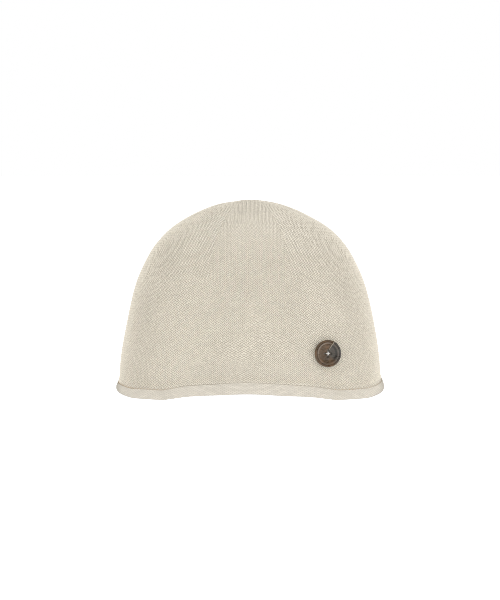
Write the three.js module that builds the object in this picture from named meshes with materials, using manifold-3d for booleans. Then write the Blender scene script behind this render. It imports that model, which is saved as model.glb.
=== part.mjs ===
// A knitted roll-up beanie: a domed crown, the rim's knit curled outwards into a roll, and a horn
// button sewn on low at the right of the front. The hat is open underneath and stands on its roll.
// Millimetres; x runs to the right of the front, y from the front to the back, z up.
// The origin is on the table, below the middle of the crown.

import * as THREE from 'three';
import { mergeVertices } from 'three/addons/utils/BufferGeometryUtils.js';
import Module from 'manifold-3d';

const wasm = await Module();
wasm.setup();

// The knit and the crown
const hatHeight = 152.6;      // table to the top of the crown
const crownWidth = 205;       // across the front, just above the roll
const crownDepth = 146;       // front to back, just above the roll
const rimSquareness = 2.35;   // exponent of the rim's oval; 2 is a plain ellipse
const knitThickness = 2.0;
const pieceGap = 0.3;         // left between pieces that touch

// The roll
const rollHeight = 8.8;       // at the middle of the front
const rollChannel = 0.8;      // open space between the crown and the leaf outside it
const hemRise = 4.6;          // the crown's lower edge, up inside the roll
const rimArch = 4.8;          // how far the rim's middle lifts off the table, at the front
const archReach = 36;         // height over which the crown evens the rim's wave out

// The button
const buttonDiameter = 20.3;
const buttonEdge = 3.1;       // thickness at the raised edge
const buttonDish = 1.7;       // thickness in the middle
const buttonRight = 58.5;     // its centre, right of the hat's middle
const buttonUp = 35.9;        // its centre, above the table
const buttonFollow = 0.6;     // share of the crown's slant that the loosely sewn button takes on
const threadHole = 1.9;       // diameter of each of the four holes
const holeSpread = 2.35;      // from the button's centre to each hole's
const threadDiameter = 0.9;   // of each bundle of sewing thread

// Fineness of the faceted surfaces
const stepsRound = 72;
const stepsUp = 19;
const bendSteps = 5;          // facets of a half turn of the roll, odd so that it has a flat underneath
const buttonSteps = 36;
const holeSteps = 12;
const threadSteps = 14;
const threadSides = 8;

// The crown's outline: each row is a level, with its height, half width and half depth as shares
// of hatHeight, crownWidth / 2 and crownDepth / 2.
const crownLevels = [
  { up: 0.100, wide: 1.000, deep: 1.000 },
  { up: 0.200, wide: 0.989, deep: 0.997 },
  { up: 0.320, wide: 0.961, deep: 0.982 },
  { up: 0.440, wide: 0.927, deep: 0.957 },
  { up: 0.560, wide: 0.881, deep: 0.920 },
  { up: 0.660, wide: 0.822, deep: 0.868 },
  { up: 0.760, wide: 0.740, deep: 0.793 },
  { up: 0.850, wide: 0.614, deep: 0.676 },
  { up: 0.920, wide: 0.452, deep: 0.512 },
  { up: 0.970, wide: 0.280, deep: 0.324 },
  { up: 0.993, wide: 0.132, deep: 0.156 },
  { up: 1.000, wide: 0.000, deep: 0.000 },
];

// The rim's wave, at even steps round from the middle of the front towards the right: lift is a
// share of rimArch and tall a share of rollHeight. Below zero the rim lies flat on the table.
const rimWave = [
  { lift: 1.00, tall: 1.00 },
  { lift: 0.78, tall: 1.00 },
  { lift: 0.52, tall: 0.95 },
  { lift: -0.03, tall: 0.86 },
  { lift: -0.03, tall: 0.86 },
  { lift: 0.34, tall: 0.94 },
  { lift: 0.64, tall: 1.00 },
  { lift: 0.30, tall: 0.95 },
  { lift: -0.03, tall: 0.88 },
  { lift: -0.03, tall: 0.86 },
  { lift: 0.42, tall: 0.93 },
  { lift: 0.76, tall: 0.98 },
  { lift: 0.90, tall: 1.00 },
  { lift: 0.72, tall: 0.97 },
  { lift: 0.38, tall: 0.93 },
  { lift: -0.03, tall: 0.87 },
  { lift: -0.03, tall: 0.87 },
  { lift: 0.28, tall: 0.91 },
  { lift: 0.58, tall: 0.92 },
  { lift: 0.32, tall: 0.90 },
  { lift: -0.03, tall: 0.85 },
  { lift: -0.03, tall: 0.85 },
  { lift: 0.60, tall: 0.95 },
  { lift: 0.86, tall: 1.00 },
];

// The button's turned front, from its edge to its middle: out is a share of its radius, and rise
// a share of the way from the dish's level to the raised edge's.
const buttonFront = [
  { out: 1.000, rise: 0.45 },
  { out: 0.965, rise: 0.88 },
  { out: 0.915, rise: 1.00 },
  { out: 0.870, rise: 0.68 },
  { out: 0.825, rise: 0.92 },
  { out: 0.765, rise: 0.96 },
  { out: 0.705, rise: 0.70 },
  { out: 0.655, rise: 0.20 },
  { out: 0.570, rise: 0.06 },
  { out: 0.000, rise: 0.00 },
];

// Its back, from the middle to the edge: up is a share of the thickness at the edge.
const buttonBack = [
  { out: 0.000, up: 0.00 },
  { out: 0.860, up: 0.00 },
  { out: 0.960, up: 0.15 },
  { out: 1.000, up: 0.40 },
];

const knit = new THREE.MeshStandardMaterial({ color: 0xd8d0bd, roughness: 0.95, metalness: 0 });
const horn = new THREE.MeshStandardMaterial({ color: 0x584a3e, roughness: 0.35, metalness: 0 });
const thread = new THREE.MeshStandardMaterial({ color: 0xdedad2, roughness: 0.85, metalness: 0 });

// The rim's wave as a smooth closed curve: x is the lift and y the roll's height.
const waveCurve = new THREE.CatmullRomCurve3(
  rimWave.map(({ lift, tall }) => new THREE.Vector3(lift, tall, 0)), true, 'catmullrom');

const wrapped = (round) => THREE.MathUtils.euclideanModulo(round, 1);
const rimLift = (round) => rimArch * Math.max(0, waveCurve.getPoint(wrapped(round)).x);
const rollTop = (round) => rollHeight * waveCurve.getPoint(wrapped(round)).y;

// A point of an oval of the given half sizes, at an angle from the front.
function ovalPoint(angle, halfWidth, halfDepth, squareness) {
  const right = Math.sin(angle);
  const back = -Math.cos(angle);
  const reach = Math.abs(right / halfWidth) ** squareness + Math.abs(back / halfDepth) ** squareness;
  const radius = reach ** (-1 / squareness);
  return new THREE.Vector3(radius * right, radius * back, 0);
}

// The crown's face at the rim. Its length is shared out evenly by getPointAt.
const rimAngles = Array.from({ length: 2 * stepsRound }, (_, k) => Math.PI * k / stepsRound);
const rimCurve = new THREE.CatmullRomCurve3(
  rimAngles.map((angle) => ovalPoint(angle, crownWidth / 2, crownDepth / 2, rimSquareness)), true);
rimCurve.arcLengthDivisions = 16 * stepsRound;

// The crown's half width, half depth and height, from its lower edge to its top.
const crownCurve = new THREE.CatmullRomCurve3([
  new THREE.Vector3(crownWidth / 2, crownDepth / 2, hemRise),
  ...crownLevels.map(({ up, wide, deep }) =>
    new THREE.Vector3(wide * crownWidth / 2, deep * crownDepth / 2, up * hatHeight)),
], false, 'centripetal');

// A point of the crown's outer face, at a share of the way round and of the climb to the top.
function crownFace(round, climb) {
  const rim = rimCurve.getPointAt(wrapped(round));
  const level = crownCurve.getPointAt(climb);
  const high = level.z / hatHeight;
  const squareness = 2 + (rimSquareness - 2) * (1 - high * high);
  const least = 1e-6;
  const face = ovalPoint(
    Math.atan2(rim.x, -rim.y), Math.max(level.x, least), Math.max(level.y, least), squareness);
  const fade = 1 - THREE.MathUtils.smoothstep(level.z, hemRise, archReach);
  return face.setZ(level.z + rimLift(round) * fade);
}

// The outward direction of the crown's face, square to its slopes up and round.
function crownOutward(round, climb) {
  const step = 1e-3;
  if (climb > 1 - step) {
    return new THREE.Vector3(0, 0, 1);
  }
  const up = crownFace(round, climb + step).sub(crownFace(round, Math.max(0, climb - step)));
  const along = crownFace(round + step, climb).sub(crownFace(round - step, climb));
  return along.cross(up).normalize();
}

// A lathe whose outline may change on the way round, with each of its points set where place puts
// it, from the share of the way round and the point of the outline.
function bentLathe(outlineAt, place) {
  const lathe = new THREE.LatheGeometry(outlineAt(0), stepsRound);
  const position = lathe.getAttribute('position');
  for (let station = 0; station <= stepsRound; station++) {
    const round = (station % stepsRound) / stepsRound;
    const outline = outlineAt(round);
    outline.forEach((point, k) => {
      position.setXYZ(station * outline.length + k, ...place(round, point).toArray());
    });
  }
  lathe.computeVertexNormals();
  return lathe;
}

// The crown: its outline's x is the depth into the knit, its y the share of the climb.
function makeCrown() {
  const climbs = Array.from({ length: stepsUp + 1 }, (_, k) => k / stepsUp);
  const outline = [
    ...climbs.map((climb) => new THREE.Vector2(0, climb)),
    ...climbs.toReversed().map((climb) => new THREE.Vector2(knitThickness, climb)),
    new THREE.Vector2(0, 0),
  ];
  return bentLathe(() => outline, (round, { x: depth, y: climb }) =>
    crownFace(round, climb).addScaledVector(crownOutward(round, climb), -depth));
}

// An arc in the roll's section, its angles in degrees from straight outwards.
function arc(out, high, radius, from, to, steps) {
  return Array.from({ length: steps + 1 }, (_, k) => {
    const angle = THREE.MathUtils.degToRad(from + (to - from) * k / steps);
    return new THREE.Vector2(out + radius * Math.cos(angle), high + radius * Math.sin(angle));
  });
}

// The roll's section: the knit goes on down from the crown, turns outwards and up, and curls in
// again until its edge rests against the crown. x is the distance out from the crown's face.
function rollSection(top) {
  const outerBend = knitThickness + rollChannel / 2;
  const innerBend = rollChannel / 2;
  const middle = rollChannel / 2;
  const lowerCentre = outerBend * Math.cos(Math.PI / 2 / bendSteps);  // sets the lowest facet at 0
  const upperCentre = top - outerBend;
  const curlEnd = (radius) => 90 + THREE.MathUtils.radToDeg(Math.asin((middle - pieceGap) / radius));
  const lower = (radius) => arc(middle, lowerCentre, radius, 180, 360, bendSteps);
  const upper = (radius) => arc(middle, upperCentre, radius, 0, curlEnd(radius), bendSteps - 1);
  const crownSide = hemRise - pieceGap;
  return [
    new THREE.Vector2(-knitThickness, crownSide),
    ...lower(outerBend),
    ...upper(outerBend),
    ...upper(innerBend).toReversed(),
    ...lower(innerBend).toReversed(),
    new THREE.Vector2(0, crownSide),
    new THREE.Vector2(-knitThickness, crownSide),
  ];
}

function makeRoll() {
  return bentLathe((round) => rollSection(rollTop(round)), (round, { x: out, y: high }) => {
    const outward = crownOutward(round, 0).setZ(0).normalize();
    return crownFace(round, 0).addScaledVector(outward, out).setZ(high + rimLift(round));
  });
}

// A geometry as a closed solid that can be joined and cut, and back.
function solid(geometry) {
  const bare = new THREE.BufferGeometry().setAttribute('position', geometry.getAttribute('position'));
  bare.setIndex(geometry.index);
  const merged = mergeVertices(bare, 1e-4);
  return new wasm.Manifold(new wasm.Mesh({
    numProp: 3,
    vertProperties: merged.attributes.position.array,
    triVerts: merged.index.array,
  }));
}

function geometryOf(body) {
  const mesh = body.getMesh();
  const geometry = new THREE.BufferGeometry();
  geometry.setAttribute('position', new THREE.BufferAttribute(mesh.vertProperties, 3));
  geometry.setIndex(new THREE.BufferAttribute(mesh.triVerts, 1));
  geometry.computeVertexNormals();
  return geometry;
}

// The button, round its own z with its back at 0: a raised edge, a turned groove, a bead and a
// dish with four holes.
function makeButton() {
  const radius = buttonDiameter / 2;
  const dishDepth = buttonEdge - buttonDish;
  const profile = [
    ...buttonBack.map(({ out, up }) => new THREE.Vector2(out * radius, up * buttonEdge)),
    ...buttonFront.map(({ out, rise }) => new THREE.Vector2(out * radius, buttonDish + rise * dishDepth)),
  ];
  const turned = new THREE.LatheGeometry(profile, buttonSteps).rotateX(Math.PI / 2);
  const drill = new THREE.CylinderGeometry(threadHole / 2, threadHole / 2, 3 * buttonEdge, holeSteps);
  drill.rotateX(Math.PI / 2).translate(holeSpread, 0, 0);
  const drilled = [0, 1, 2, 3].reduce(
    (body, quarter) => body.subtract(solid(drill.clone().rotateZ(quarter * Math.PI / 2))), solid(turned));
  return geometryOf(drilled);
}

// The thread: two bundles, each up through one hole, over the dish and down through the hole
// opposite. They cross in the middle, where they are one body.
function makeThread() {
  const over = buttonDish + pieceGap + threadDiameter / 2;
  const shoulder = holeSpread * 0.72;
  const halfRoute = [
    new THREE.Vector3(holeSpread, 0, 0),
    new THREE.Vector3(holeSpread, 0, over * 0.6),
    new THREE.Vector3(shoulder, 0, over),
  ];
  const otherHalf = halfRoute.toReversed().map(({ x, z }) => new THREE.Vector3(-x, 0, z));
  const crossing = new THREE.Vector3(0, 0, over + threadDiameter / 5);
  const route = new THREE.CatmullRomCurve3([...halfRoute, crossing, ...otherHalf]);
  const section = new THREE.Shape().absarc(0, 0, threadDiameter / 2, 0, 2 * Math.PI);
  const bundle = new THREE.ExtrudeGeometry(section, {
    steps: threadSteps, extrudePath: route, bevelEnabled: false, curveSegments: threadSides / 2,
  });
  return geometryOf(solid(bundle).add(solid(bundle.clone().rotateZ(Math.PI / 2))));
}

// The number between low and high up to which isShort holds.
function bisect(low, high, isShort) {
  let [below, above] = [low, high];
  for (let k = 0; k < 40; k++) {
    const middle = (below + above) / 2;
    [below, above] = isShort(middle) ? [middle, above] : [below, middle];
  }
  return (below + above) / 2;
}

// The button's place on the crown, as a matrix whose z is the way that the button faces. It slants
// less than the knit behind it, and its back clears the knit all over.
function buttonPlace() {
  const climbAt = (round) => bisect(0, 1, (climb) => crownFace(round, climb).z < buttonUp);
  const round = bisect(0, 0.25, (share) => crownFace(share, climbAt(share)).x < buttonRight);
  const climb = climbAt(round);
  const centre = crownFace(round, climb);
  const outward = crownOutward(round, climb);
  const turn = buttonFollow * Math.atan2(outward.x, -outward.y);
  const lean = buttonFollow * Math.asin(outward.z);
  const side = new THREE.Vector3(Math.cos(turn), Math.sin(turn), 0);
  const facing = new THREE.Vector3(Math.sin(turn), -Math.cos(turn), 0);
  facing.multiplyScalar(Math.cos(lean)).setZ(Math.sin(lean));
  const up = new THREE.Vector3().crossVectors(facing, side);

  const radius = buttonDiameter / 2;
  const behind = [-1, -0.5, 0, 0.5, 1].flatMap((right) => [-1, -0.5, 0, 0.5, 1].map((above) =>
    crownFace(round + right * radius / rimCurve.getLength(), climb + above * radius / hatHeight)
      .sub(centre)));
  const covered = behind.filter((point) => Math.hypot(point.dot(side), point.dot(up)) <= radius);
  const bulge = Math.max(...covered.map((point) => point.dot(facing)));
  return new THREE.Matrix4().makeBasis(side, up, facing)
    .setPosition(centre.addScaledVector(facing, bulge + pieceGap));
}

function named(name, geometry, material) {
  const mesh = new THREE.Mesh(geometry, material);
  mesh.name = name;
  return mesh;
}

const beanie = new THREE.Group();
beanie.add(named('crown', makeCrown(), knit));
beanie.add(named('rolled_brim', makeRoll(), knit));

const fastening = new THREE.Group();
fastening.applyMatrix4(buttonPlace());
fastening.add(named('button', makeButton(), horn));
fastening.add(named('button_thread', makeThread(), thread));
beanie.add(fastening);

export default beanie;
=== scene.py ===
import math

import bpy
import numpy as np
from mathutils import Matrix, Vector


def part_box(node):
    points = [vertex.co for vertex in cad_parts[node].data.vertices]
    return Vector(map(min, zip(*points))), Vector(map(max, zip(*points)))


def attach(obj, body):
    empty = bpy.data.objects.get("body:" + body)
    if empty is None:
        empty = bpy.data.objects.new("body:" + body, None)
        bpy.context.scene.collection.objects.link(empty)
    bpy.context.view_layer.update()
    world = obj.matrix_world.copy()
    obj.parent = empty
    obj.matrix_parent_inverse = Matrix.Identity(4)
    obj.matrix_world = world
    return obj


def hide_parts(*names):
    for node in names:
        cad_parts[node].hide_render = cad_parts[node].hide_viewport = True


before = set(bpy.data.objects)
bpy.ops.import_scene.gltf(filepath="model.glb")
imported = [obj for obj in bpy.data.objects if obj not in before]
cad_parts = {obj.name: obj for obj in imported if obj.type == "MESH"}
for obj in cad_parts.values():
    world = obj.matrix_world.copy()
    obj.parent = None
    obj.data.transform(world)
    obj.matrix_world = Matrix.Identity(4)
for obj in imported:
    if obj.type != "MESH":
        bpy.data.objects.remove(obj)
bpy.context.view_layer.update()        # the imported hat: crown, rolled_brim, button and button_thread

mm = 0.001
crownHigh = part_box("crown")[1]
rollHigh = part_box("rolled_brim")[1]


def clearSelection():
    if bpy.context.object and bpy.context.object.mode != "OBJECT":
        bpy.ops.object.mode_set(mode="OBJECT")
    bpy.ops.object.select_all(action="DESELECT")


def activate(piece):
    clearSelection()
    piece.select_set(True)
    bpy.context.view_layer.objects.active = piece


def settle(piece):
    # the piece's place goes into its mesh, as a CAD node's does
    activate(piece)
    bpy.ops.object.transform_apply(location=True, rotation=True, scale=True)


# The hat's form, which the knit below follows

hat = {
    "halfWidth": crownHigh.x,
    "halfDepth": crownHigh.y,
    "height": crownHigh.z,
    "hemRise": 4.6 * mm,      # where the crown goes over into the roll
    "archReach": 36 * mm,     # height over which the crown evens the rim's wave out
    "rimArch": 5.4 * mm,      # how far the rim's middle lifts off the surface
    "rimSquareness": 2.35,    # 2 is an oval
    "thickness": 2.0 * mm,
    "levels": [    # height, half width and half depth, as shares of the three above
        (0.100, 1.000, 1.000), (0.200, 0.989, 0.997), (0.320, 0.961, 0.982), (0.440, 0.927, 0.957),
        (0.560, 0.881, 0.920), (0.660, 0.822, 0.868), (0.760, 0.740, 0.793), (0.850, 0.614, 0.676),
        (0.920, 0.452, 0.512), (0.970, 0.280, 0.324), (0.993, 0.132, 0.156), (1.000, 0.000, 0.000),
    ],
    "wave": [      # lift and height of the roll, at even steps round from the middle of the front
        (1.00, 1.00), (0.78, 1.00), (0.52, 0.95), (-0.03, 0.86), (-0.03, 0.86), (0.34, 0.94),
        (0.64, 1.00), (0.30, 0.95), (-0.03, 0.88), (-0.03, 0.86), (0.42, 0.93), (0.76, 0.98),
        (0.90, 1.00), (0.72, 0.97), (0.38, 0.93), (-0.03, 0.87), (-0.03, 0.87), (0.28, 0.84),
        (0.58, 0.78), (0.32, 0.82), (-0.03, 0.85), (-0.03, 0.85), (0.60, 0.95), (0.86, 1.00),
    ],
}


def smoothThrough(points, perSpan=60):
    # a Catmull-Rom curve through the points, the first and last of which only steer it
    points = np.array(points, float)
    share = np.linspace(0, 1, perSpan, endpoint=False)[:, None]
    spans = []
    for a, b, c, d in zip(points, points[1:], points[2:], points[3:]):
        spans.append(0.5 * (2 * b + (c - a) * share + (2 * a - 5 * b + 4 * c - d) * share ** 2
                            + (3 * b - a - 3 * c + d) * share ** 3))
    return np.concatenate(spans + [points[-2:-1]])


def smoothStep(value, low, high):
    share = np.clip((value - low) / (high - low), 0, 1)
    return share * share * (3 - 2 * share)


def between(value, rise, fall):
    return smoothStep(value, *rise) * (1 - smoothStep(value, *fall))


def ovalPoint(angle, halfWidth, halfDepth, squareness):
    right, back = np.sin(angle), -np.cos(angle)
    reach = np.abs(right / halfWidth) ** squareness + np.abs(back / halfDepth) ** squareness
    radius = reach ** (-1 / squareness)
    return np.stack([radius * right, radius * back], -1)


angles = np.linspace(0, 2 * math.pi, 4001)
rimPoints = ovalPoint(angles, hat["halfWidth"], hat["halfDepth"], hat["rimSquareness"])
rimLengths = np.concatenate([[0], np.cumsum(np.linalg.norm(np.diff(rimPoints, axis=0), axis=1))])
rimGirth = rimLengths[-1]

formPoints = [(hat["halfWidth"], hat["halfDepth"], up) for up in (-10 * mm, hat["hemRise"])]
formPoints += [(wide * hat["halfWidth"], deep * hat["halfDepth"], up * hat["height"])
               for up, wide, deep in hat["levels"]]
lastWide, lastDeep, lastUp = formPoints[-2]
formPoints.append((-lastWide, -lastDeep, lastUp))
formCurve = smoothThrough(formPoints)
formLengths = np.concatenate([[0], np.cumsum(np.linalg.norm(np.diff(formCurve, axis=0), axis=1))])
formLengths /= formLengths[-1]

waveRows = hat["wave"][-1:] + hat["wave"] + hat["wave"][:2]
waveCurve = smoothThrough(waveRows)
waveShares = np.linspace(0, 1, len(waveCurve))


def waveAt(share, column):
    return np.interp(share % 1.0, waveShares, waveCurve[:, column])


def crownFace(share, climb):
    # the crown's outside, at a share of the way round and of the climb from its hem to its top
    angle = np.interp(share % 1.0, rimLengths / rimGirth, angles)
    wide, deep, up = (np.interp(climb, formLengths, formCurve[:, k]) for k in range(3))
    high = np.clip(up / hat["height"], 0, 1)
    squareness = 2 + (hat["rimSquareness"] - 2) * (1 - high ** 2)
    flat = ovalPoint(angle, np.maximum(wide, 1e-9), np.maximum(deep, 1e-9), squareness)
    fade = 1 - smoothStep(up, hat["hemRise"], hat["archReach"])
    lift = hat["rimArch"] * np.maximum(0, waveAt(share, 0)) * fade
    return np.concatenate([flat, (up + lift)[..., None]], -1)


def crownOutward(share, climb):
    step = 1e-3
    climb = np.clip(climb, 0, 1 - 2 * step)
    up = crownFace(share, climb + step) - crownFace(share, np.maximum(climb - step, 0))
    along = crownFace(share + step, climb) - crownFace(share - step, climb)
    outward = np.cross(along, up)
    return outward / np.maximum(np.linalg.norm(outward, axis=-1, keepdims=True), 1e-12)


# The knit: one sheet that runs down the crown, round the roll and up again inside

knit = {
    "gores": 8,               # the decreases lie on eight lines from the top
    "walesPerGore": 23,
    "courses": 114,
    "innerRows": 38,
    "narrowest": 0.88,        # a wale's width where the decreases begin, against its width at the rim
    "slant": 0.95,            # how far a stitch's legs slope, in courses
    "legRelief": 0.34,        # of each leg, against the length of its cell
    "creaseAngle": 50,        # between legs that stay sharply apart
    "sink": 0.42 * mm,        # of the hollows between the legs
    "rollHeight": 8.8 * mm,
    "rollProud": rollHigh.x - crownHigh.x,
    "rollEdge": 0.28 * mm,    # radius of the knit's curled edge, where it lies against the crown
    "edgeGap": -0.14 * mm,    # from the crown's face to the edge, which sinks in between the stitches
    "bellyRise": 0.9 * mm,    # how far above the bend the roll is widest
    "shoulder": 1.5,          # how soon it slopes in above that: 1 is straight, more is fuller
    "nubRows": 15,            # half courses down the roll's outer face and round its bend
    "nubRelief": 0.08,        # of each bump of the wrong side
    "flare": 1.15 * mm,       # how far the roll pushes the crown's knit outwards
    "flareReach": 12 * mm,
    "flareFrom": (0.4, 0.9),  # shares of the roll's height over which it sets in
    "uneven": 0.10,           # of the stitches, against their size
    "unevenFrom": (0.0, 0.02),     # shares of the climb over which this sets in
    "unevenTo": (0.93, 0.98),      # and dies away again, as for the dents below
    "seed": 7,
    "dents": [                # soft unevenness: waves round, waves up, turn and depth
        (3, 1.5, 0.10, 0.30 * mm), (5, 2.5, 0.62, 0.22 * mm), (8, 4.0, 0.35, 0.12 * mm),
    ],
    "dentsFrom": (0.0, 0.2),
    "dentsTo": (0.85, 1.0),
    "rollWaves": [            # unevenness of the roll: waves round, turn and depth
        (7, 0.20, 0.16 * mm), (16, 0.65, 0.10 * mm), (37, 0.40, 0.05 * mm),
    ],
    "weld": 0.002 * mm,       # points this close become one
}
halfWales = 2 * knit["walesPerGore"]
columns = knit["gores"] * halfWales


def dentAt(share, climb):
    total = 0
    for around, up, turn, depth in knit["dents"]:
        total = total + depth * np.sin(2 * math.pi * (around * share + turn)) * np.sin(
            2 * math.pi * (up * climb + 2 * turn))
    return total * between(climb, knit["dentsFrom"], knit["dentsTo"])


def rollUneven(share):
    return sum(depth * np.sin(2 * math.pi * (around * share + turn))
               for around, turn, depth in knit["rollWaves"])


def halfGore(climb):
    # half a gore's width in half wales: it narrows with the crown once the wales are squeezed
    wide, deep = (np.interp(climb, formLengths, formCurve[:, k]) for k in range(2))
    girth = np.sqrt((wide ** 2 + deep ** 2) / (hat["halfWidth"] ** 2 + hat["halfDepth"] ** 2))
    return halfWales / 2 * np.minimum(1, np.maximum(girth, 1e-4) / knit["narrowest"])


def flareAt(rise, share):
    # the roll pushes the knit outwards where its edge lies on it; rise is from the roll's lowest line
    top = knit["rollHeight"] * waveAt(share, 1)
    start, full = (part * top for part in knit["flareFrom"])
    return knit["flare"] * between(rise, (start, full), (top, knit["flareReach"]))


def arcPoints(centreOut, centreUp, radius, start, end, steps):
    turn = np.radians(np.linspace(start, end, steps))
    return [(centreOut + radius * math.cos(t), centreUp + radius * math.sin(t)) for t in turn]


def rollSection(top):
    # out from the crown's face and up from the roll's lowest line, from the hem round to the hem:
    # the bend's inside, up between the leaves, over the edge, down the outer face and round the bend
    thick = hat["thickness"]
    proud = knit["rollProud"]
    outer = (proud + thick) / 2
    inner = outer - thick
    low = outer * math.cos(math.radians(18))    # the bend is flattened where it rests on the surface
    edge = knit["rollEdge"]
    rest = knit["flare"] + knit["edgeGap"]
    points = arcPoints(inner, low, inner, 180, 360, 4)
    for share in (0.35, 0.75):
        points.append((2 * inner + (rest - 2 * inner) * share, low + (top - edge - low) * share))
    points += arcPoints(rest + edge, top - edge, edge, 180, 75, 3)
    full = low + knit["bellyRise"]
    tipOut = rest + 1.5 * edge
    side = [(tipOut + (proud - tipOut) * (1 - share ** knit["shoulder"]),
             full + (top - edge - full) * share) for share in np.linspace(1, 0, 20)]
    side = np.array(side + arcPoints(inner, low, outer, 360, 180, 40))
    travel = np.concatenate([[0], np.cumsum(np.linalg.norm(np.diff(side, axis=0), axis=1))])
    even = np.linspace(0, travel[-1], knit["nubRows"] + 1)
    return points + [(np.interp(t, travel, side[:, 0]), np.interp(t, travel, side[:, 1])) for t in even]


def knitRows():
    # each row: kind, and its number within that kind
    section = len(rollSection(knit["rollHeight"]))
    return ([("face", k) for k in range(knit["courses"] + 1)] + [("roll", k) for k in range(section)]
            + [("inside", k) for k in range(knit["innerRows"] + 1)])


def placeKnit(column, row):
    rows = knitRows()
    firstRoll = knit["courses"] + 1
    firstInside = len(rows) - knit["innerRows"] - 1
    face = row < firstRoll
    inside = row >= firstInside
    onRoll = ~face & ~inside
    gore = np.round(column / halfWales)
    across = column - gore * halfWales
    climb = np.where(inside, (row - firstInside) / knit["innerRows"], 1 - row / knit["courses"])
    climb = np.clip(climb, 0, 1)
    half = halfGore(climb)
    clamped = np.clip(across, -half, half)
    free = np.abs(across) < half - 0.5

    # no two stitches are quite alike
    chance = np.random.default_rng(knit["seed"])
    fade = between(climb, knit["unevenFrom"], knit["unevenTo"])
    turned = (column % columns) * 1000 + row
    shuffle = np.argsort(np.argsort(turned, kind="stable"), kind="stable")
    aside, above = chance.uniform(-1, 1, (2, len(column)))[:, shuffle] * free * fade
    twin = column == columns
    if twin.any():    # the last column closes on the first
        order = {r: k for k, r in enumerate(row[column == 0])}
        first = np.flatnonzero(column == 0)
        for k in np.flatnonzero(twin):
            aside[k], above[k] = aside[first[order[row[k]]]], above[first[order[row[k]]]]
    share = (gore + (clamped + aside * knit["uneven"]) / (2 * half)) / knit["gores"]

    place = np.zeros((len(column), 3))
    lift = hat["rimArch"] * np.maximum(0, waveAt(share, 0))
    wale = (clamped + 1) / 2
    zig = 2 * np.abs(wale - np.round(wale)) - 0.5    # +-0.5 at a wale's edge and middle
    shifted = climb - (zig * knit["slant"] - above * knit["uneven"]) / knit["courses"] * fade
    shifted = np.clip(np.where(face, shifted, climb), 0, 1)
    outward = crownOutward(share, shifted)
    surface = crownFace(share, shifted)
    depth = dentAt(share, climb) + flareAt(surface[:, 2] - lift, share)
    depth += np.where(face, -knit["sink"] * fade, -hat["thickness"])
    place[~onRoll] = (surface + outward * depth[:, None])[~onRoll]

    stations = np.arange(columns + 1) / columns
    sections = np.array([rollSection(top) for top in
                         knit["rollHeight"] * waveAt(stations, 1) + rollUneven(stations)])
    station = column[onRoll].astype(int)
    section = sections[station, (row[onRoll] - firstRoll).astype(int)]
    rim = crownFace(stations, np.zeros(columns + 1))[station]
    outward = crownOutward(stations, np.zeros(columns + 1))[station]
    outward[:, 2] = 0
    outward /= np.linalg.norm(outward, axis=1, keepdims=True)
    place[onRoll] = rim + outward * section[:, :1]
    place[onRoll, 2] = np.maximum(section[:, 1] + lift[onRoll], 0)
    return place


def stitchMap(column, row, corner, faceRow, faceColumn):
    # the stitches' own map: half wales across and courses up, below 0 on the roll
    rows = knitRows()
    firstRoll = knit["courses"] + 1
    firstInside = len(rows) - knit["innerRows"] - 1
    firstNub = firstInside - knit["nubRows"] - 1
    course = np.array([knit["courses"] - k if kind == "face" else 0 for kind, k in rows], float)
    course[firstRoll:firstInside] = (firstNub - np.arange(firstRoll, firstInside)) / 2
    onward = np.linspace(0.5, knit["courses"], knit["innerRows"] + 1)
    course[firstInside:] = course[firstInside - 1] - onward
    climb = np.where(row >= firstInside, (row - firstInside) / knit["innerRows"], 1 - row / knit["courses"])
    half = halfGore(np.clip(climb, 0, 1))[corner]
    goreStart = np.repeat(np.round((faceColumn + 0.5) / halfWales), 4) * halfWales
    wale = np.clip(column[corner] - goreStart, -half, half) + goreStart
    return np.stack([wale, course[row[corner].astype(int)]], -1)


def kindOfFace(faceRow, faceColumn):
    # 0 is the right side's legs, 1 the plain wrong side, 2 and 3 its bumps and the dips between them
    firstInside = len(knitRows()) - knit["innerRows"] - 1
    firstNub = firstInside - knit["nubRows"] - 1
    kind = np.where(faceRow < knit["courses"], 0, 1)
    nubs = (faceRow >= firstNub) & (faceRow < firstInside)
    return np.where(nubs, 2 + (faceRow - firstNub + faceColumn + 1) % 2, kind).astype(int)


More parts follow.
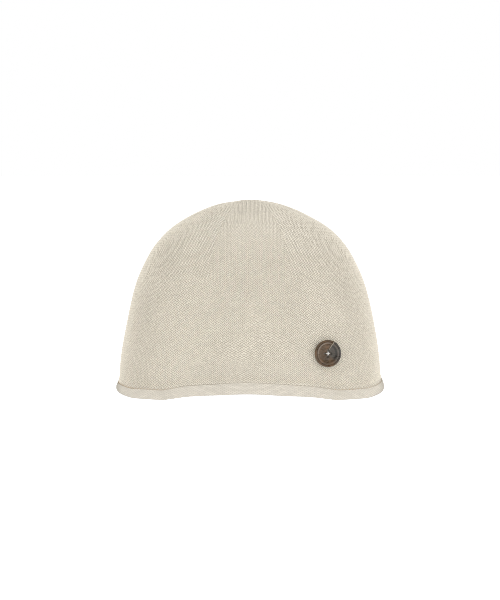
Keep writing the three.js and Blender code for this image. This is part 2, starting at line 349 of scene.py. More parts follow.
def makeKnit():
    rows = knitRows()
    rowCount = len(rows) - 1
    clearSelection()
    bpy.ops.mesh.primitive_grid_add(x_subdivisions=columns, y_subdivisions=rowCount, size=2,
                                    location=(0, 0, 0))
    piece = bpy.context.object
    piece.name = "knit"
    mesh = piece.data
    flat = np.zeros(len(mesh.vertices) * 3)
    mesh.vertices.foreach_get("co", flat)
    flat = flat.reshape(-1, 3)
    column = np.round((flat[:, 0] + 1) / 2 * columns)
    row = np.round((flat[:, 1] + 1) / 2 * rowCount)
    corner = np.zeros(len(mesh.loops), int)
    mesh.loops.foreach_get("vertex_index", corner)
    faceColumn = column[corner].reshape(-1, 4).min(axis=1)
    faceRow = row[corner].reshape(-1, 4).min(axis=1)
    stitches = mesh.uv_layers.new(name="stitches")
    stitches.data.foreach_set("uv", stitchMap(column, row, corner, faceRow, faceColumn).ravel())
    bake = mesh.uv_layers.new(name="OFBake")    # the whole sheet laid out flat, for the baked images
    flatMap = np.stack([column[corner] / columns, 1 - row[corner] / rowCount], -1)
    bake.data.foreach_set("uv", flatMap.ravel())
    mesh.uv_layers.remove(mesh.uv_layers[0])
    mesh.vertices.foreach_set("co", placeKnit(column, row).ravel())
    wool = makeWoolGroup()
    legs = knitMaterial("knitFace", makeLegGroup(), wool)
    nubs = knitMaterial("knitBack", makeNubGroup(), wool)
    for material in (legs, nubs, nubs, nubs):
        mesh.materials.append(material)
    mesh.polygons.foreach_set("material_index", kindOfFace(faceRow, faceColumn))
    mesh.update()

    activate(piece)
    bpy.ops.object.mode_set(mode="EDIT")
    bpy.ops.mesh.select_all(action="SELECT")
    bpy.ops.mesh.remove_doubles(threshold=knit["weld"])
    bpy.ops.mesh.dissolve_degenerate(threshold=knit["weld"])
    bpy.ops.mesh.select_all(action="SELECT")
    bpy.ops.mesh.normals_make_consistent(inside=False)
    for kind, relief in ((0, knit["legRelief"]), (2, knit["nubRelief"]), (3, -0.5 * knit["nubRelief"])):
        bpy.ops.mesh.select_all(action="DESELECT")
        piece.active_material_index = kind
        bpy.ops.object.material_slot_select()
        bpy.ops.mesh.poke(offset=relief, use_relative_offset=True)
    bpy.ops.object.mode_set(mode="OBJECT")
    for extra in (3, 2):    # the bumps' slots have done their work
        piece.active_material_index = extra
        bpy.ops.object.material_slot_remove()
    bpy.ops.object.shade_smooth_by_angle(angle=math.radians(knit["creaseAngle"]))
    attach(piece, "root")
    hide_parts("crown", "rolled_brim")
    mesh.calc_loop_triangles()
    print(f"knit: {len(mesh.loop_triangles)} triangles")
    return piece


# Shader helpers: a value or a colour may be a number or another node's output

def feed(tree, value, socket):
    if isinstance(value, bpy.types.NodeSocket):
        tree.links.new(value, socket)
    else:
        socket.default_value = value


def mathNode(tree, operation, *values):
    node = tree.nodes.new("ShaderNodeMath")
    node.operation = operation
    for value, socket in zip(values, node.inputs):
        feed(tree, value, socket)
    return node.outputs["Value"]


def plus(tree, first, second):
    return mathNode(tree, "ADD", first, second)


def minus(tree, first, second):
    return mathNode(tree, "SUBTRACT", first, second)


def times(tree, first, *others):
    for other in others:
        first = mathNode(tree, "MULTIPLY", first, other)
    return first


def power(tree, value, exponent):
    return mathNode(tree, "POWER", value, exponent)


def away(tree, value, middle=0.0):
    # how far the value is from the middle, on either side
    return mathNode(tree, "ABSOLUTE", minus(tree, value, middle))


def rangeNode(tree, value, old, new=(0.0, 1.0), smooth=True):
    node = tree.nodes.new("ShaderNodeMapRange")
    node.interpolation_type = "SMOOTHSTEP" if smooth else "LINEAR"
    for name, entry in (("Value", value), ("From Min", old[0]), ("From Max", old[1]),
                        ("To Min", new[0]), ("To Max", new[1])):
        feed(tree, entry, node.inputs[name])
    return node.outputs["Result"]


def mixNode(tree, share, first, second, blend="MIX"):
    node = tree.nodes.new("ShaderNodeMix")
    node.data_type = "RGBA"
    node.blend_type = blend
    feed(tree, share, node.inputs["Factor"])
    for color, socket in ((first, node.inputs["A"]), (second, node.inputs["B"])):
        feed(tree, color if isinstance(color, bpy.types.NodeSocket) else (*color, 1), socket)
    return node.outputs["Result"]


def noiseNode(tree, vector, scale, detail=2.0, roughness=0.5, distortion=0.0):
    node = tree.nodes.new("ShaderNodeTexNoise")
    feed(tree, vector, node.inputs["Vector"])
    for name, value in (("Scale", scale), ("Detail", detail), ("Roughness", roughness),
                        ("Distortion", distortion)):
        node.inputs[name].default_value = value
    return node.outputs["Fac"]


def splitNode(tree, vector):
    node = tree.nodes.new("ShaderNodeSeparateXYZ")
    tree.links.new(vector, node.inputs["Vector"])
    return node.outputs["X"], node.outputs["Y"]


def darken(tree, color, shade):
    grey = tree.nodes.new("ShaderNodeCombineColor")
    for socket in grey.inputs[:3]:
        tree.links.new(shade, socket)
    return mixNode(tree, 1.0, color, grey.outputs["Color"], "MULTIPLY")


def addBump(tree, shader, height, distance, strength):
    bump = tree.nodes.new("ShaderNodeBump")
    bump.inputs["Distance"].default_value = distance
    bump.inputs["Strength"].default_value = strength
    tree.links.new(height, bump.inputs["Height"])
    tree.links.new(bump.outputs["Normal"], shader.inputs["Normal"])


def newMaterial(name):
    material = bpy.data.materials.new(name)
    material.use_nodes = True
    return material, material.node_tree, material.node_tree.nodes["Principled BSDF"]


def plainMaterial(name, color, roughness):
    material, tree, shader = newMaterial(name)
    shader.inputs["Base Color"].default_value = (*color, 1)
    shader.inputs["Roughness"].default_value = roughness
    return material, tree, shader


def newGroup(name, inputs, outputs):
    tree = bpy.data.node_groups.new(name, "ShaderNodeTree")
    for way, sockets in (("INPUT", inputs), ("OUTPUT", outputs)):
        for socketName, kind in sockets:
            tree.interface.new_socket(name=socketName, in_out=way, socket_type="NodeSocket" + kind)
    entry = tree.nodes.new("NodeGroupInput")
    result = tree.nodes.new("NodeGroupOutput")
    return tree, entry.outputs, result.inputs


def placeGroup(tree, group, **values):
    node = tree.nodes.new("ShaderNodeGroup")
    node.node_tree = group
    for name, value in values.items():
        feed(tree, value, node.inputs[name])
    return node.outputs


yarn = {
    "knitFace": {
        "color": (0.785, 0.732, 0.628),
        "gapShade": 0.62,           # how dark the painted shade between the legs gets
        "hidden": (1.9, 1.2),  # courses over which the knit goes out of the light, towards the groove
    },
    "knitBack": {
        "color": (0.715, 0.665, 0.575),
        # how dark the painted shade between the bumps gets
        "gapShade": 0.34,
        "hidden": (0.1, 0.7),
    },
    # painted shade in the gaps between the legs and between the bumps
    "gapShadeColor": (0.30, 0.25, 0.18),
    "grooveColor": (0.50, 0.38, 0.24),    # where the knit is never in the light, under the roll's edge
    "fleckColor": (0.42, 0.34, 0.25),
    "legEdge": (0.42, 1.10),   # of a leg, against half its width
    "legEnds": (0.26, 0.25),   # how much wider the gap is at a leg's ends, and how far the yarn dips there
    "evenFrom": (55, 85),      # courses over which the hollows at the legs' ends fill up towards the top
    "nubDrop": (0.90, 0.62),   # how fast a bump of the wrong side falls off along and across it
    "nubEdge": (0.25, 0.80),
    "toneSpread": 0.05,        # from stitch to stitch
    "cloudScale": 28.0,
    "cloudSpread": 0.03,
    "fleckScale": 1100.0,
    "fleckEdge": (0.72, 0.80),
    "fleckStrength": 0.45,
    "fibreTurn": 0.4,
    "fibreScale": (2.0, 6.0, 1),
    "fibreRelief": 0.28,       # against the yarn's own
    "grazingShadeFrom": (0.55, 0.95),
    "grazingShade": 0.70,           # painted shade: share of the colour left where the surface is seen edge on
    "swirl": 0.42,             # how far the edges of the stitches wander
    "swirlScale": 620.0,
    "roughness": 0.93,
    "specular": 0.25,
    "reliefDepth": 0.45 * mm,
}


def cellOf(tree, value):
    # a value's place within its whole step, from -0.5 to 0.5, and the step's number
    number = mathNode(tree, "FLOOR", value)
    return minus(tree, minus(tree, value, number), 0.5), number


def stitchTone(tree, numbers):
    # one even random number for each stitch
    vector = tree.nodes.new("ShaderNodeCombineXYZ")
    for value, socket in zip(numbers, vector.inputs):
        feed(tree, value, socket)
    noise = tree.nodes.new("ShaderNodeTexWhiteNoise")
    noise.noise_dimensions = "2D"
    tree.links.new(vector.outputs["Vector"], noise.inputs["Vector"])
    return noise.outputs["Value"]


def newStitchGroup(name):
    # the first output marks where painted shade falls between the stitches
    outputs = [("GapShade", "Float"), ("Height", "Float"), ("Tone", "Float")]
    tree, entry, result = newGroup(name, [("Stitches", "Vector")], outputs)
    wales, courses = splitNode(tree, entry["Stitches"])
    return tree, wales, courses, result


def makeLegGroup():
    # the right side of the knit: each half wale of a course is one slanting leg
    tree, wales, courses, result = newStitchGroup("knitLegs")
    along, wale = cellOf(tree, wales)
    across, course = cellOf(tree, courses)
    side = times(tree, away(tree, across), 2.0)
    end = times(tree, away(tree, along), 2.0, rangeNode(tree, courses, yarn["evenFrom"], (1.0, 0.0)))
    widening, sinking = yarn["legEnds"]
    yarnRound = power(tree, minus(tree, 1.0, power(tree, side, 2.0)), 0.5)
    dip = minus(tree, 1.0, times(tree, power(tree, end, 5.0), sinking))
    reach = plus(tree, side, times(tree, power(tree, end, 3.0), widening))
    # where painted shade falls between the legs
    tree.links.new(rangeNode(tree, reach, yarn["legEdge"]), result["GapShade"])
    tree.links.new(times(tree, yarnRound, dip), result["Height"])
    tree.links.new(stitchTone(tree, (wale, course)), result["Tone"])
    return tree


def makeNubGroup():
    # the wrong side: small bumps, each row set between those of the last, half a course below
    tree, wales, courses, result = newStitchGroup("knitNubs")
    across, row = cellOf(tree, times(tree, courses, 2.0))
    shifted = minus(tree, wales, row)
    along = mathNode(tree, "PINGPONG", minus(tree, shifted, 0.5), 1.0)
    side = times(tree, away(tree, across), 2.0)
    rounds = []
    for far, high in ((along, side), (minus(tree, 1.0, along), minus(tree, 2.0, side))):
        drops = [times(tree, power(tree, value, 2.0), drop)
                 for value, drop in zip((far, high), yarn["nubDrop"])]
        rounds.append(minus(tree, 1.0, plus(tree, *drops)))
    highest = mathNode(tree, "MAXIMUM", mathNode(tree, "MAXIMUM", *rounds), 0.0)
    height = power(tree, highest, 0.5)
    # where painted shade falls between the bumps
    tree.links.new(rangeNode(tree, height, yarn["nubEdge"], (1.0, 0.0)), result["GapShade"])
    tree.links.new(height, result["Height"])
    number = mathNode(tree, "FLOOR", times(tree, plus(tree, shifted, 0.5), 0.5))
    tree.links.new(stitchTone(tree, (number, row)), result["Tone"])
    return tree


def makeWoolGroup():
    # what both sides of the yarn share: soft clouds of tone, rare dark flecks, fibres that lie along it,
    # and the stitches' map bent, so that no two edges run alike
    tree, entry, result = newGroup(
        "yarnFibre", [("Vector", "Vector"), ("Stitches", "Vector")],
        [("Cloud", "Float"), ("Fleck", "Float"), ("Fibre", "Float"), ("Bent", "Vector")])
    swirl = tree.nodes.new("ShaderNodeTexNoise")
    tree.links.new(entry["Vector"], swirl.inputs["Vector"])
    swirl.inputs["Scale"].default_value = yarn["swirlScale"]
    swirl.inputs["Detail"].default_value = 1.5
    bend = tree.nodes.new("ShaderNodeVectorMath")
    bend.operation = "MULTIPLY_ADD"
    tree.links.new(swirl.outputs["Color"], bend.inputs[0])
    bend.inputs[1].default_value = (yarn["swirl"], yarn["swirl"], 0)
    bend.inputs[2].default_value = (-yarn["swirl"] / 2, -yarn["swirl"] / 2, 0)
    moved = tree.nodes.new("ShaderNodeVectorMath")
    tree.links.new(entry["Stitches"], moved.inputs[0])
    tree.links.new(bend.outputs["Vector"], moved.inputs[1])
    tree.links.new(moved.outputs["Vector"], result["Bent"])
    tree.links.new(noiseNode(tree, entry["Vector"], yarn["cloudScale"], 3.0), result["Cloud"])
    speck = noiseNode(tree, entry["Vector"], yarn["fleckScale"], 1.0)
    tree.links.new(rangeNode(tree, speck, yarn["fleckEdge"]), result["Fleck"])
    drawn = tree.nodes.new("ShaderNodeMapping")
    tree.links.new(entry["Stitches"], drawn.inputs["Vector"])
    drawn.inputs["Rotation"].default_value = (0, 0, yarn["fibreTurn"])
    drawn.inputs["Scale"].default_value = yarn["fibreScale"]
    tree.links.new(noiseNode(tree, drawn.outputs["Vector"], 1.0, 3.0, 0.5, 0.3), result["Fibre"])
    return tree


def knitMaterial(name, stitchGroup, woolGroup):
    look = yarn[name]
    material, tree, shader = newMaterial(name)
    uvMap = tree.nodes.new("ShaderNodeUVMap")
    uvMap.uv_map = "stitches"
    place = tree.nodes.new("ShaderNodeTexCoord")
    wool = placeGroup(tree, woolGroup, Vector=place.outputs["Object"], Stitches=uvMap.outputs["UV"])
    stitch = placeGroup(tree, stitchGroup, Stitches=wool["Bent"])
    tones = ((stitch["Tone"], (0.0, 1.0), yarn["toneSpread"]), (wool["Cloud"], (0.3, 0.7), yarn["cloudSpread"]))
    shades = [rangeNode(tree, value, old, (1 - spread, 1 + spread), smooth=False)
              for value, old, spread in tones]
    slant = tree.nodes.new("ShaderNodeLayerWeight")    # painted shade where the surface is seen edge on: the gaps close up there, and the colour is darkened so that the edges stay dark
    slant.inputs["Blend"].default_value = 0.5
    shades.append(rangeNode(tree, slant.outputs["Facing"], yarn["grazingShadeFrom"], (1.0, yarn["grazingShade"])))
    colored = darken(tree, look["color"], times(tree, *shades))
    flecked = mixNode(tree, times(tree, wool["Fleck"], yarn["fleckStrength"]), colored, yarn["fleckColor"])
    # painted shade in the gaps between the stitches
    shaded = mixNode(tree, times(tree, stitch["GapShade"], look["gapShade"]), flecked, yarn["gapShadeColor"])
    hidden = rangeNode(tree, splitNode(tree, uvMap.outputs["UV"])[1], look["hidden"])
    tree.links.new(mixNode(tree, hidden, shaded, yarn["grooveColor"]), shader.inputs["Base Color"])
    shader.inputs["Roughness"].default_value = yarn["roughness"]
    shader.inputs["Specular IOR Level"].default_value = yarn["specular"]
    height = plus(tree, stitch["Height"], times(tree, wool["Fibre"], yarn["fibreRelief"]))
    addBump(tree, shader, height, yarn["reliefDepth"], 1.0)
    return material


# The stage: a pale floor, a white surround and soft light from the front

stage = {
    "distance": 2.4,
    "elevation": 2.8,           # degrees, of the camera
    "aim": (-0.0001, 0, 0.0739),
    "frameHeight": 0.4719,      # of what the camera sees, at the hat's middle
    "sensor": 36,
    "farthest": 100,
    "floorSize": 40,
    "floorColor": (0.12, 0.12, 0.12),
    "floorGlow": 1.09,
    "brightSide": (-0.28, -0.95, -0.30),    # the room is brightest on this side
    "dimmest": 1.08,
    "brightest": 1.22,
    "glossSide": (0.9, -0.42, -0.2),    # a gloss picks up a bright field on this side and little elsewhere
    "glossEdge": (0.85, 0.97),
    "glossLeast": 0.12,
    "glossMost": 4.0,
    "keySize": 0.5,
    "keyPlace": (1.9, -1.35, 0.35),
    "keyPower": 3,
    "sharpness": 0.95,          # width of the pixel filter: the stitches are only two pixels wide
}


def makeStage():
    clearSelection()
    bpy.ops.mesh.primitive_plane_add(size=stage["floorSize"], location=(0, 0, 0))
    floor = bpy.context.object
    floor.name = "floor"
    paint, tree, shader = plainMaterial("floorPaint", stage["floorColor"], 0.9)
    shader.inputs["Specular IOR Level"].default_value = 0.1
    shader.inputs["Emission Color"].default_value = (1, 1, 1, 1)
    shader.inputs["Emission Strength"].default_value = stage["floorGlow"]
    behind = tree.nodes.new("ShaderNodeNewGeometry")
    clear = tree.nodes.new("ShaderNodeBsdfTransparent")
    either = tree.nodes.new("ShaderNodeMixShader")    # from below the floor doesn't hide the hat's inside
    tree.links.new(behind.outputs["Backfacing"], either.inputs["Fac"])
    tree.links.new(shader.outputs["BSDF"], either.inputs[1])
    tree.links.new(clear.outputs["BSDF"], either.inputs[2])
    tree.links.new(either.outputs["Shader"], tree.nodes["Material Output"].inputs["Surface"])
    floor.data.materials.append(paint)

    world = bpy.data.worlds.new("room")
    bpy.context.scene.world = world
    world.use_nodes = True
    tree = world.node_tree
    lit = tree.nodes["Background"]
    direction = tree.nodes.new("ShaderNodeTexCoord")
    lean = tree.nodes.new("ShaderNodeVectorMath")
    lean.operation = "DOT_PRODUCT"
    tree.links.new(direction.outputs["Generated"], lean.inputs[0])
    lean.inputs[1].default_value = Vector(stage["brightSide"]).normalized()
    strength = rangeNode(tree, lean.outputs["Value"], (-1.0, 1.0), (stage["dimmest"], stage["brightest"]),
                         smooth=False)
    field = tree.nodes.new("ShaderNodeVectorMath")
    field.operation = "DOT_PRODUCT"
    tree.links.new(direction.outputs["Generated"], field.inputs[0])
    field.inputs[1].default_value = Vector(stage["glossSide"]).normalized()
    gloss = rangeNode(tree, field.outputs["Value"], stage["glossEdge"],
                      (stage["glossLeast"], stage["glossMost"]))
    path = tree.nodes.new("ShaderNodeLightPath")
    pick = tree.nodes.new("ShaderNodeMix")
    tree.links.new(path.outputs["Is Glossy Ray"], pick.inputs["Factor"])
    tree.links.new(strength, pick.inputs["A"])
    tree.links.new(gloss, pick.inputs["B"])
    tree.links.new(pick.outputs["Result"], lit.inputs["Strength"])
    lit.inputs["Color"].default_value = (1, 1, 1, 1)
    seen = tree.nodes.new("ShaderNodeBackground")
    seen.inputs["Color"].default_value = (1, 1, 1, 1)
    mix = tree.nodes.new("ShaderNodeMixShader")
    tree.links.new(path.outputs["Is Camera Ray"], mix.inputs["Fac"])
    tree.links.new(lit.outputs["Background"], mix.inputs[1])
    tree.links.new(seen.outputs["Background"], mix.inputs[2])
    tree.links.new(mix.outputs["Shader"], tree.nodes["World Output"].inputs["Surface"])

    bpy.ops.object.light_add(type="AREA", location=stage["keyPlace"])
    key = bpy.context.object
    key.name = "keyLight"
    key.data.size = stage["keySize"]
    key.data.energy = stage["keyPower"]
    key.rotation_euler = (Vector(stage["aim"]) - key.location).to_track_quat("-Z", "Y").to_euler()

    bpy.ops.object.camera_add()
    camera = bpy.context.object
    camera.name = "camera"
    lean = math.radians(stage["elevation"])
    back = Vector((0, -math.cos(lean), math.sin(lean)))
    camera.location = Vector(stage["aim"]) + back * stage["distance"]
    camera.rotation_euler = (-back).to_track_quat("-Z", "Y").to_euler()
    camera.data.sensor_width = stage["sensor"]
    camera.data.lens = stage["sensor"] * stage["distance"] / stage["frameHeight"]
    camera.data.clip_end = stage["farthest"]
    bpy.context.scene.camera = camera
    bpy.context.scene.view_settings.view_transform = "Standard"
    bpy.context.scene.cycles.filter_width = stage["sharpness"]
    print("stage: floor, room light, key light and camera")


# The button: a turned horn disc, sewn on loosely so that it slants less than the knit behind it

button = {
    "place": (59.15 * mm, -64.19 * mm, 36.05 * mm),    # the middle of its back
    "turn": 13.759,            # degrees, to the right
    "lean": 2.899,             # degrees, upwards
    "radius": 10.38 * mm,
    "edge": 3.1 * mm,          # thickness at the raised edge
    "dish": 1.7 * mm,          # thickness in the middle
    "steps": 96,
    "hole": 0.85 * mm,         # radius of each of the four holes
    "holeSpread": 2.35 * mm,   # from the middle to each hole's
    "holeDepth": 10 * mm,      # of the drill
    "holeBevel": 0.16 * mm,
    "levelWithin": 0.1 * mm,   # how the holes' edges are told from the others
    "holeWithin": 0.03 * mm,
    "creaseAngle": 35,
    "back": [(0.86, 0.0), (0.93, 0.04), (0.96, 0.12), (0.985, 0.24), (1.0, 0.40)],    # out, up
    "front": [                 # out, and rise from the dish's level to the edge's
        (1.000, 0.45), (0.990, 0.68), (0.965, 0.88), (0.940, 0.97), (0.915, 1.00), (0.895, 0.93),
        (0.880, 0.76), (0.870, 0.68), (0.858, 0.74), (0.842, 0.86), (0.825, 0.92), (0.795, 0.97),
        (0.765, 0.96), (0.735, 0.87), (0.705, 0.70), (0.685, 0.48), (0.665, 0.27), (0.640, 0.15),
        (0.600, 0.09), (0.540, 0.055), (0.460, 0.02), (0.420, 0.0), (0.405, 0.0),
    ],
}


def buttonMatrix():
    turn, lean = math.radians(button["turn"]), math.radians(button["lean"])
    side = Vector((math.cos(turn), math.sin(turn), 0))
    facing = Vector((math.sin(turn) * math.cos(lean), -math.cos(turn) * math.cos(lean), math.sin(lean)))
    frameOfButton = Matrix((side, facing.cross(side), facing)).transposed().to_4x4()
    return Matrix.Translation(button["place"]) @ frameOfButton


horn = {
    "brown": (0.088, 0.056, 0.031),
    "rust": (0.130, 0.074, 0.037),
    "grey": (0.069, 0.058, 0.048),
    "moss": (0.079, 0.071, 0.060),
    # colour of the painted highlight along the ring's crest
    "highlightColor": (0.235, 0.190, 0.150),
    "vein": (0.46, 0.40, 0.31),
    "crack": (0.035, 0.024, 0.018),
    "veinStart": (0.6 * mm, 2.1 * mm),    # on the button's face, right and up from its middle
    "veinTurn": 58,                       # degrees, counted from the right, as all turns here
    "veinWidth": 0.20 * mm,
    "veinFade": (0.45, 0.95),             # how pale it is at its start and at the button's edge
    "veinTip": 0.6 * mm,                  # over which it sets in
    "crackBeside": 0.55 * mm,             # from the vein to the dark crack along it
    "crackEdge": (0.15 * mm, 0.5 * mm),
    "crackDepth": 0.85,
    "crackFade": (4.0 * mm, 7.0 * mm),    # along the vein
    "reach": 7.0 * mm,                    # of the vein
    "waver": 0.25 * mm,                   # how far the lines stray
    "waverScale": 420.0,
    "waverTurn": 60 / mm,                 # degrees that the grey side's end strays for that
    "darkEnd": -50,                       # the grey side goes from the vein round to here
    "darkBlur": 22,
    "sideBlur": 0.1 * mm,
    "dishFrom": (6.4 * mm, 4.2 * mm),     # radii over which the dish turns grey, on its lower right
    "dishTurn": (-3 * mm, 3 * mm),
    "dishGrey": 0.55,
    "layerScale": 520.0,                  # of the horn's layers, which lie across the vein
    "layerStretch": (0.35, 1.0, 0.4),
    "layerTone": (0.68, 1.34),
    "blotchScale": 260.0,
    "rings": {    # radius, width, turn where it is strongest, how far round, most and least: the groove is darker, partly dirt and partly painted shade; the dish's edge is darker with painted shade on the right, where its slope faces away from the light; and the crest between them is painted paler, a painted highlight strongest at the upper left
                  # and the dish's edge are darker, and the crest between them is worn paler
        # the groove: darker, partly dirt and partly painted shade
        "groove": (8.85 * mm, (0.0, 0.45 * mm), 0, (0, 180), (0.45, 0.45)),
        # painted shade on the dish's edge, on the right, where the slope faces away from the light
        "shadedDishEdge": (6.5 * mm, (0.4 * mm, 1.1 * mm), 8, (35, 75), (0.42, 0.0)),
        # painted highlight along the ring's crest, strongest at the upper left
        "highlightCrest": (8.0 * mm, (0.25 * mm, 0.95 * mm), 140, (25, 75), (0.66, 0.14)),
    },
    "roughness": (0.22, 0.37),
    "specular": 0.45,
    "relief": 0.03 * mm,
    "reliefStrength": 0.6,
}


def ringShare(tree, out, angle, name):
    radius, width, turn, reach, strength = horn["rings"][name]
    onRing = rangeNode(tree, away(tree, out, radius), width, (1.0, 0.0))
    return times(tree, onRing, rangeNode(tree, away(tree, angle, turn), reach, strength))


def hornMaterial():
    material, tree, shader = newMaterial("horn")
    place = tree.nodes.new("ShaderNodeTexCoord")
    face = tree.nodes.new("ShaderNodeMapping")    # to the button's own face: right, up and out
    face.vector_type = "TEXTURE"
    face.inputs["Location"].default_value = button["place"]
    face.inputs["Rotation"].default_value = buttonMatrix().to_euler()
    tree.links.new(place.outputs["Object"], face.inputs["Vector"])
    spot = face.outputs["Vector"]
    right, up = splitNode(tree, spot)
    stray = noiseNode(tree, spot, horn["waverScale"])
    waver = mathNode(tree, "MULTIPLY_ADD", stray, 2 * horn["waver"], -horn["waver"])

    turn = math.radians(horn["veinTurn"])
    fromStart = [minus(tree, value, start) for value, start in zip((right, up), horn["veinStart"])]
    across = [times(tree, value, part) for value, part in zip(fromStart, (math.sin(turn), math.cos(turn)))]
    onward = [times(tree, value, part) for value, part in zip(fromStart, (math.cos(turn), math.sin(turn)))]
    beside = plus(tree, minus(tree, *across), waver)
    along = plus(tree, *onward)
    angle = times(tree, mathNode(tree, "ARCTAN2", up, right), 180 / math.pi)
    angle = plus(tree, angle, times(tree, waver, horn["waverTurn"]))
    out = power(tree, plus(tree, power(tree, right, 2.0), power(tree, up, 2.0)), 0.5)
    end, blur = horn["darkEnd"], horn["darkBlur"]
    greySide = times(tree, rangeNode(tree, beside, (-horn["sideBlur"], horn["sideBlur"])),
                     rangeNode(tree, angle, (end - blur, end + blur)))
    greyDish = times(tree, rangeNode(tree, out, horn["dishFrom"]), horn["dishGrey"],
                     rangeNode(tree, minus(tree, right, up), horn["dishTurn"]))

    grain = tree.nodes.new("ShaderNodeMapping")
    tree.links.new(spot, grain.inputs["Vector"])
    grain.inputs["Rotation"].default_value = (0, 0, -turn)
    grain.inputs["Scale"].default_value = horn["layerStretch"]
    layers = noiseNode(tree, grain.outputs["Vector"], horn["layerScale"], 4.0, 0.6, 0.8)
    blotch = noiseNode(tree, spot, horn["blotchScale"])
    brown = mixNode(tree, rangeNode(tree, blotch, (0.45, 0.68)), horn["brown"], horn["rust"])
    grey = mixNode(tree, rangeNode(tree, blotch, (0.42, 0.66)), horn["grey"], horn["moss"])
    body = mixNode(tree, mathNode(tree, "MAXIMUM", greySide, greyDish), brown, grey)
    shade = rangeNode(tree, layers, (0.25, 0.75), horn["layerTone"], smooth=False)
    # the groove darker, partly dirt and partly painted shade, and painted shade on the dish's edge at the right
    for name in ("groove", "shadedDishEdge"):
        shade = times(tree, shade, minus(tree, 1.0, ringShare(tree, out, angle, name)))
    body = darken(tree, body, shade)
    # painted highlight along the ring's crest, strongest at the upper left
    body = mixNode(tree, ringShare(tree, out, angle, "highlightCrest"), body, horn["highlightColor"])
    onVein = rangeNode(tree, along, (-horn["veinTip"], horn["veinTip"]))
    inCrack = rangeNode(tree, away(tree, beside, -horn["crackBeside"]), horn["crackEdge"],
                        (horn["crackDepth"], 0.0))
    crack = times(tree, onVein, inCrack, rangeNode(tree, along, horn["crackFade"], (1.0, 0.2)))
    body = mixNode(tree, crack, body, horn["crack"])
    width = horn["veinWidth"]
    inVein = rangeNode(tree, away(tree, beside), (0.4 * width, 1.6 * width), (1.0, 0.0))
    pale = times(tree, onVein, inVein, rangeNode(tree, along, (0.0, horn["reach"]), horn["veinFade"]))
    tree.links.new(mixNode(tree, pale, body, horn["vein"]), shader.inputs["Base Color"])
    tree.links.new(rangeNode(tree, layers, (0.3, 0.7), horn["roughness"], smooth=False),
                   shader.inputs["Roughness"])
    shader.inputs["Specular IOR Level"].default_value = horn["specular"]
    addBump(tree, shader, layers, horn["relief"], horn["reliefStrength"])
    return material


def makeButton():
    profile = [(out * button["radius"], up * button["edge"]) for out, up in button["back"]]
    rise = button["edge"] - button["dish"]
    profile += [(out * button["radius"], button["dish"] + up * rise) for out, up in button["front"]]
    clearSelection()
    bpy.ops.mesh.primitive_circle_add(vertices=button["steps"], radius=profile[0][0],
                                      fill_type="NGON", location=(0, 0, 0))
    piece = bpy.context.object
    piece.name = "hornButton"
    bpy.ops.object.mode_set(mode="EDIT")
    bpy.ops.mesh.select_all(action="SELECT")
    for (wide, low), (newWide, newLow) in zip(profile, profile[1:]):
        bpy.ops.mesh.extrude_region_move(TRANSFORM_OT_translate={"value": (0, 0, newLow - low)})
        share = newWide / wide
        bpy.ops.transform.resize(value=(share, share, 1), center_override=(0, 0, 0))
    bpy.ops.mesh.select_all(action="SELECT")
    bpy.ops.mesh.normals_make_consistent(inside=False)
    bpy.ops.object.mode_set(mode="OBJECT")

    for quarter in range(4):
        turn = quarter * math.pi / 2
        spot = (button["holeSpread"] * math.cos(turn), button["holeSpread"] * math.sin(turn), 0)
        clearSelection()
        bpy.ops.mesh.primitive_cylinder_add(vertices=24, radius=button["hole"], depth=button["holeDepth"],
                                            location=spot)
        drill = bpy.context.object
        activate(piece)
        cut = piece.modifiers.new("hole", "BOOLEAN")
        cut.operation = "DIFFERENCE"
        cut.object = drill
        bpy.ops.object.modifier_apply(modifier="hole")
        bpy.data.objects.remove(drill)

    activate(piece)
    bpy.ops.object.mode_set(mode="EDIT")
    bpy.ops.mesh.select_mode(type="EDGE")
    bpy.ops.mesh.select_all(action="DESELECT")
    bpy.ops.object.mode_set(mode="OBJECT")
    spots = [Vector((1, 0)), Vector((0, 1)), Vector((-1, 0)), Vector((0, -1))]
    for edge in piece.data.edges:
        ends = [piece.data.vertices[k].co for k in edge.vertices]
        level = abs(ends[0].z - ends[1].z) < button["levelWithin"] and ends[0].z > button["dish"] / 2
        spot = min(spots, key=lambda spot: (spot * button["holeSpread"] - ends[0].xy).length)
        aways = [(end.xy - spot * button["holeSpread"]).length for end in ends]
        edge.select = level and max(aways) < button["hole"] + button["holeWithin"]
    bpy.ops.object.mode_set(mode="EDIT")
    bpy.ops.mesh.bevel(offset=button["holeBevel"], segments=2)
    bpy.ops.object.mode_set(mode="OBJECT")
    bpy.ops.object.shade_smooth_by_angle(angle=math.radians(button["creaseAngle"]))
    piece.matrix_world = buttonMatrix()
    settle(piece)
    piece.data.materials.append(hornMaterial())
    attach(piece, "root")
    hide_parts("button")
    print(f"button: {len(piece.data.polygons)} faces")
    return piece


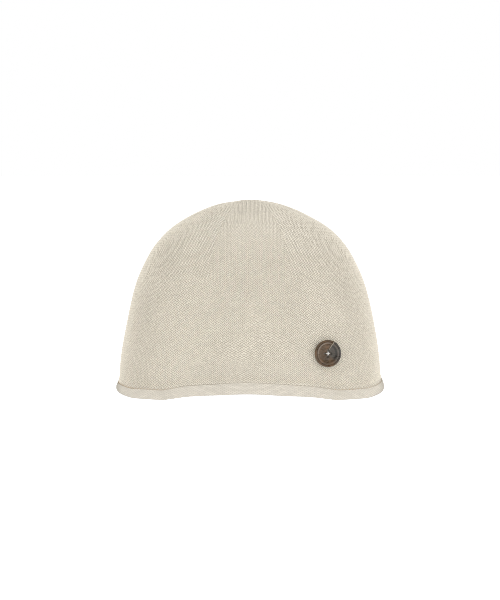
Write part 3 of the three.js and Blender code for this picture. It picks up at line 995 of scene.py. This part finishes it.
thread = {
    "color": (0.62, 0.605, 0.57),
    "roughness": 0.8,
    "strand": 0.17 * mm,          # radius
    "strandsPerBundle": 5,
    "spread": 0.88 * mm,          # of a bundle's strands where they cross
    "reach": 1.48 * mm,           # from the middle to where they go down
    "overDish": 0.35 * mm,
    "below": 1.0 * mm,            # how far the ends go behind the button
    "shoulder": 0.78,             # share of the reach where the strands bend down
    "tied": 0.4,                  # share of the spread that is left where they go down
}


def makeThread():
    over = button["dish"] + thread["overDish"]
    reach = thread["reach"]
    curve = bpy.data.curves.new("sewingThread", "CURVE")
    curve.dimensions = "3D"
    curve.bevel_depth = thread["strand"]
    curve.bevel_resolution = 2
    curve.resolution_u = 5
    for bundle in range(2):
        for strand in range(thread["strandsPerBundle"]):
            aside = (strand / (thread["strandsPerBundle"] - 1) - 0.5) * thread["spread"]
            lift = (bundle * 0.8 + (strand % 2) * 0.5) * thread["strand"] * 2
            tied = thread["tied"] * aside
            bent = (reach * thread["shoulder"], 0.5 * aside, over * 0.93 + 0.3 * lift)
            rising = [(-reach, tied, -thread["below"]), (-reach, tied, over * 0.5), (-bent[0], *bent[1:])]
            falling = [bent, (reach, tied, over * 0.5), (reach, tied, -thread["below"])]
            route = rising + [(0, aside, over + thread["strand"] + lift)] + falling
            spline = curve.splines.new("BEZIER")
            spline.bezier_points.add(len(route) - 1)
            for point, (along, across, up) in zip(spline.bezier_points, route):
                point.co = (-across, along, up) if bundle else (along, across, up)
                point.handle_left_type = point.handle_right_type = "AUTO"
    piece = bpy.data.objects.new("buttonThread", curve)
    bpy.context.collection.objects.link(piece)
    activate(piece)
    bpy.ops.object.convert(target="MESH")
    piece = bpy.context.object
    piece.matrix_world = buttonMatrix()
    settle(piece)
    piece.data.materials.append(plainMaterial("cottonThread", thread["color"], thread["roughness"])[0])
    bpy.ops.object.shade_smooth()
    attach(piece, "root")
    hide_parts("button_thread")
    print(f"thread: {len(piece.data.polygons)} faces")
    return piece


makeStage()
makeKnit()
makeButton()
makeThread()
